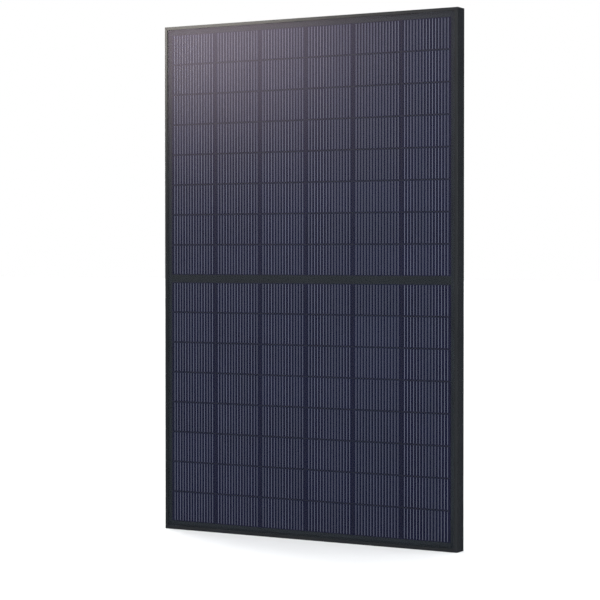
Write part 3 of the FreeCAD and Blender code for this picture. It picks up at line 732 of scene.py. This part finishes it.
def add_box_details(bm, across):
    """Cooling ribs and latches on the long walls, and the raised panel of the lid."""
    low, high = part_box("junction_box_middle")
    rim = high.y
    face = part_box("junction_box_lid_middle")[1].y
    wall = high.z
    rib = rectangle(*RIB)
    latch = rectangle(*LATCH)
    nose = rectangle(*LATCH_NOSE)
    nose_start, latch_start, latch_end = LATCH_STEPS
    reach = int((high.x - BOX_CORNER) / RIB_PITCH)
    for way in (-1, 1):
        for place in range(-reach, reach + 1):
            x = place * RIB_PITCH
            if min(abs(x - latch_place) for latch_place in LATCH_PLACES) > LATCH_ROOM:
                add_layers(bm, [(rib, low.y + RIB_START), (rib, rim - RIB_END)], across + x, way * wall)
        for x in LATCH_PLACES:
            layers = [(nose, rim + nose_start), (latch, rim + latch_start), (latch, rim + latch_end)]
            add_layers(bm, layers, across + x, way * wall)
    width = high.x - low.x - LID_MARGINS[0]
    height = high.z - low.z - LID_MARGINS[1]
    layers = []
    for outset, rise, corner in LID_PANEL:
        outline = rectangle(width + 2 * outset * MM, height + 2 * outset * MM, corner * MM)
        layers.append((outline, face + rise * MM))
    add_layers(bm, layers, across)


def add_gland(bm, way):
    """A cable gland with a six-sided collar, a ribbed nut and a tapered mouth."""
    low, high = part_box("cable_glands")
    start = high.x - GLAND_LENGTH * MM
    level = (low.y + high.y) / 2
    rings = []
    for along, radius, shape in GLAND_PROFILE:
        ring = []
        for index in range(GLAND_SIDES):
            angle = 2 * math.pi * index / GLAND_SIDES
            reach = radius
            if shape == "six":
                from_flat = (angle + math.pi / 6) % (math.pi / 3) - math.pi / 6
                reach = min(radius, GLAND_FLAT * radius / math.cos(from_flat))
            if shape == "ribs" and index % RIB_SIDES < RIB_SIDES / 2:
                reach = radius - GLAND_GROOVE
            x = way * (start + along * MM)
            ring.append(bm.verts.new((x, level + reach * MM * math.cos(angle), reach * MM * math.sin(angle))))
        rings.append(ring)
    for first, second in zip(rings, rings[1:] + rings[:1]):
        join_rings(bm, first, second)


def soften(node, width):
    """Rounds a CAD node's sharp edges with modifiers only."""
    weld = node.modifiers.new("weld", "WELD")
    weld.merge_threshold = WELD_REACH
    bevel = node.modifiers.new("round", "BEVEL")
    bevel.width = width
    bevel.segments = BEVEL_SEGMENTS
    bevel.limit_method = "ANGLE"
    bevel.angle_limit = BEVEL_ANGLE


def build_boxes(plastic, glue):
    for side in BOX_SIDES:
        low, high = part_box(f"junction_box_{side}")
        across = (low.x + high.x) / 2
        soften(nodes[f"junction_box_{side}"], BOX_ROUND)
        soften(nodes[f"junction_box_lid_{side}"], LID_ROUND)
        bead = bmesh.new()
        add_bead(bead, across)
        details = bmesh.new()
        add_box_details(details, across)
        for name, bm, material, slot in (
            (f"box_bead_{side}", bead, glue, "sealant_black"),
            (f"box_details_{side}", details, plastic, "box_plastic"),
        ):
            piece = new_piece(name, bm, material)
            smooth_edges(piece)
            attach(piece, "root")


def build_glands(plastic):
    for side, way in (("left", -1), ("right", 1)):
        bm = bmesh.new()
        add_gland(bm, way)
        gland = new_piece(f"gland_{side}", bm, plastic, ["cable_glands"])
        smooth_edges(gland, GLAND_SHARP)
        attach(gland, "root")


def build_label():
    low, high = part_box("rating_label")
    middle = (low + high) / 2
    outline = rectangle(high.x - low.x, high.z - low.z, LABEL_CORNER)
    bm = bmesh.new()
    front = BACKSHEET_REAR + CELL_RAISE
    add_layers(bm, [(outline, front), (outline, front + LABEL_THICKNESS)], middle.x, middle.z)
    label = new_piece("blank_label", bm, blank_label(), ["rating_label"])
    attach(label, "root")


# Scene


def assign(material, *prefixes):
    """Gives CAD nodes whose names start so their material."""
    for name, node in nodes.items():
        if name.startswith(prefixes):
            node.data.materials.clear()
            node.data.materials.append(material)


def dress_nodes(front_film):
    """Materials of the CAD nodes that stay, apart from the boxes and the sealant."""
    assign(silicon_cell(), "cells_")
    assign(tinned_ribbon(), "ribbons_", "lead_outs")
    assign(black_film("black_bus", rgb(0.014, 0.015, 0.017), rgb(0.02, 0.021, 0.023), 2500.0), "bus_")
    assign(front_film, "mask_")
    strip_film = black_film("middle_strip", rgb(0.0099, 0.0138, 0.0162), rgb(0.0121, 0.0165, 0.0191), 3000.0)
    assign(strip_film, "mask_strip_middle")
    assign(plain_metal("mill_aluminium", rgb(0.5, 0.5, 0.51), rgb(0.68, 0.68, 0.69), 0.35), "corner_key_")
    assign(plain_metal("tinned_copper", rgb(0.55, 0.5, 0.44), rgb(0.72, 0.66, 0.58), 0.3), "terminal_")
    assign(moulded_black("diode_case", 3000.0), "bypass_")
    assign(silicone("potting", rgb(0.62, 0.63, 0.62), rgb(0.7, 0.71, 0.7)), "potting")


def build_object():
    front_film = black_film("black_film", rgb(0.0130, 0.0175, 0.0215), rgb(0.0160, 0.0210, 0.0255), 3000.0)
    dress_nodes(front_film)
    black_silicone = silicone("black_silicone", rgb(0.010, 0.010, 0.0105), rgb(0.016, 0.016, 0.0165))
    assign(black_silicone, "sealant_", "box_adhesive")
    box_plastic = moulded_black("box_moulding")
    assign(box_plastic, "junction_box_")
    build_frame(anodised_black())
    build_rear_bead(black_silicone)
    build_glass()
    build_backsheet(front_film)
    build_boxes(box_plastic, black_silicone)
    build_glands(box_plastic)
    build_label()


def build_floor():
    """A pale matt floor. Gloss mirrors the studio's ground in its place, so no horizon line shows."""
    bm = bmesh.new()
    bmesh.ops.create_grid(bm, x_segments=1, y_segments=1, size=FLOOR_REACH)
    mesh = bpy.data.meshes.new("floor")
    bm.to_mesh(mesh)
    bm.free()
    floor = bpy.data.objects.new("floor", mesh)
    floor.location.z = cad_low.z
    floor.visible_glossy = False
    bpy.context.scene.collection.objects.link(floor)
    make = new_material("floor")
    grain = make.noise(make.place(), scale=12.0, detail=3.0)
    colour = make.mix(grain, rgb(0.86, 0.86, 0.86), rgb(0.89, 0.89, 0.89))
    mesh.materials.append(make.finish(make.add("BsdfPrincipled", {"Base Color": colour, "Roughness": 0.8})))


def add_lamp(name, kind, energy, place, target, colour=WHITE, **settings):
    """A lamp at a place that points at its target."""
    lamp = bpy.data.lights.new(name, kind)
    lamp.energy = energy
    lamp.color = colour
    for key, value in settings.items():
        setattr(lamp, key, value)
    holder = bpy.data.objects.new(name, lamp)
    holder.location = place
    holder.rotation_euler = (Vector(target) - Vector(place)).to_track_quat("-Z", "Y").to_euler()
    bpy.context.scene.collection.objects.link(holder)


def build_world():
    """Grey walls with three light patches and a dark one, a light ground and a big soft ceiling light. The
    camera itself sees plain white behind the panel."""
    world = bpy.data.worlds.new("studio")
    make = Nodes(world, "OutputWorld")

    def blend(value, low, high, new_low, new_high):
        inputs = {0: value, 1: low, 2: high, 3: new_low, 4: new_high}
        return make.add("MapRange", inputs, interpolation_type="SMOOTHSTEP").outputs[0]

    facing = make.add("TexCoord").outputs["Generated"]
    height = make.split(facing)[2]
    strength = WALL_LIGHT
    for aim, edge, full, light in WALL_PATCHES:
        towards = make.add("VectorMath", {0: facing, 1: aim}, operation="DOT_PRODUCT").outputs["Value"]
        strength = blend(towards, edge, full, strength, light)
    strength = blend(height, GROUND_FULL, GROUND_START, GROUND_LIGHT, strength)
    strength = blend(height, CEILING_START, CEILING_FULL, strength, CEILING_LIGHT)
    studio = make.add("Background", {0: rgb(0.96, 0.98, 1.0), 1: strength})
    backdrop = make.add("Background", {0: rgb(1.0, 1.0, 1.0), 1: 1.0})
    is_camera = make.add("LightPath").outputs["Is Camera Ray"]
    shares = {0: is_camera, 1: studio.outputs[0], 2: backdrop.outputs[0]}
    bpy.context.scene.world = make.finish(make.add("MixShader", shares))


def build_lights():
    """The studio's own light, a weak key, a fill and a back light for shape, and a warm lamp whose soft
    reflection lies over the panel's top left corner."""
    build_world()
    middle = (0, 0, 0)
    key_place = (3.5, -5, 2.6)
    fill_place = (2.6, -3.2, 0.4)
    back_place = (-5, 3, 1.2)
    corner_place = (-4.40, -5.958, 2.15)
    add_lamp("key", "SUN", energy=0.42, place=key_place, target=middle, angle=math.radians(20))
    add_lamp("fill", "AREA", energy=34.0, place=fill_place, target=(0.3, 0, -0.1), shape="SQUARE", size=0.8)
    add_lamp("back_light", "SUN", energy=2.6, place=back_place, target=middle, angle=math.radians(25))
    corner = {"energy": 109.0, "colour": WARM, "shape": "DISK", "size": 1.82}
    add_lamp("corner_lamp", "AREA", place=corner_place, target=(-0.45, 0, 0.8), **corner)


def build_camera():
    """A long lens from the right of the panel, level with its middle."""
    level = math.cos(CAMERA_ELEVATION)
    across = math.sin(CAMERA_AZIMUTH) * level
    back = Vector((across, -math.cos(CAMERA_AZIMUTH) * level, math.sin(CAMERA_ELEVATION)))
    data = bpy.data.cameras.new("camera")
    data.lens = CAMERA_LENS
    data.sensor_width = CAMERA_SENSOR
    data.shift_y = CAMERA_SHIFT
    camera = bpy.data.objects.new("camera", data)
    camera.location = CAMERA_TARGET + back * CAMERA_DISTANCE
    camera.rotation_euler = (-back).to_track_quat("-Z", "Y").to_euler()
    bpy.context.scene.collection.objects.link(camera)
    bpy.context.scene.camera = camera


bpy.context.scene.view_settings.view_transform = "Standard"
build_object()
build_floor()
build_lights()
build_camera()
